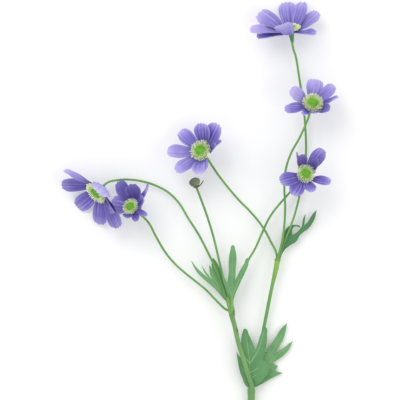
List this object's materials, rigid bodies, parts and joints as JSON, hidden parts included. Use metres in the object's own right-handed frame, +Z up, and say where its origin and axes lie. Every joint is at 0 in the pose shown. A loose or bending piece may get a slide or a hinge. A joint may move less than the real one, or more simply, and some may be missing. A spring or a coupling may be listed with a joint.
{
  "type": "cut cosmos flower spray",
  "caption": "Cut spray of open violet flowers and a closed bud on a branching green stem with cut leaves, lying on a surface.",
  "frame": {"origin": "on the surface the spray lies on, at the middle of the flat underside of the main stem's lower end", "axes": "+Y along the surface from the cut end towards the flowers, +X to the right seen from above, +Z up from the surface"},
  "size_m": [0.2772, 0.4657, 0.0524],
  "materials": {
    "stem_green": "soft green, slightly waxy",
    "leaf_green": "matt green leaf",
    "petal_violet": "matt violet, paler at the tips",
    "stamen_cream": "matt cream",
    "button_green": "matt bright green",
    "bud_sage": "matt grey green"
  },
  "bodies": {
    "root": {"branch_left": "stem_green", "branch_right": "stem_green", "bud_body": "bud_sage", "bud_calyx": "bud_sage", "bud_stalk": "stem_green", "flower_1_button": "button_green", "flower_1_calyx": "stem_green", "flower_1_petals": "petal_violet", "flower_1_stalk": "stem_green", "flower_1_stamens": "stamen_cream", "flower_2_button": "button_green", "flower_2_calyx": "stem_green", "flower_2_petals": "petal_violet", "flower_2_stalk": "stem_green", "flower_2_stamens": "stamen_cream", "flower_3_button": "button_green", "flower_3_calyx": "stem_green", "flower_3_petals": "petal_violet", "flower_3_stalk": "stem_green", "flower_3_stamens": "stamen_cream", "flower_4_button": "button_green", "flower_4_calyx": "stem_green", "flower_4_petals": "petal_violet", "flower_4_stalk": "stem_green", "flower_4_stamens": "stamen_cream", "flower_5_button": "button_green", "flower_5_calyx": "stem_green", "flower_5_petals": "petal_violet", "flower_5_stalk": "stem_green", "flower_5_stamens": "stamen_cream", "flower_6_button": "button_green", "flower_6_calyx": "stem_green", "flower_6_petals": "petal_violet", "flower_6_stalk": "stem_green", "flower_6_stamens": "stamen_cream", "leaf_low_back": "leaf_green", "leaf_low_front": "leaf_green", "leaf_mid_left": "leaf_green", "leaf_mid_right": "leaf_green", "leaf_top": "leaf_green", "main_stem": "stem_green"}
  },
  "joints": []
}
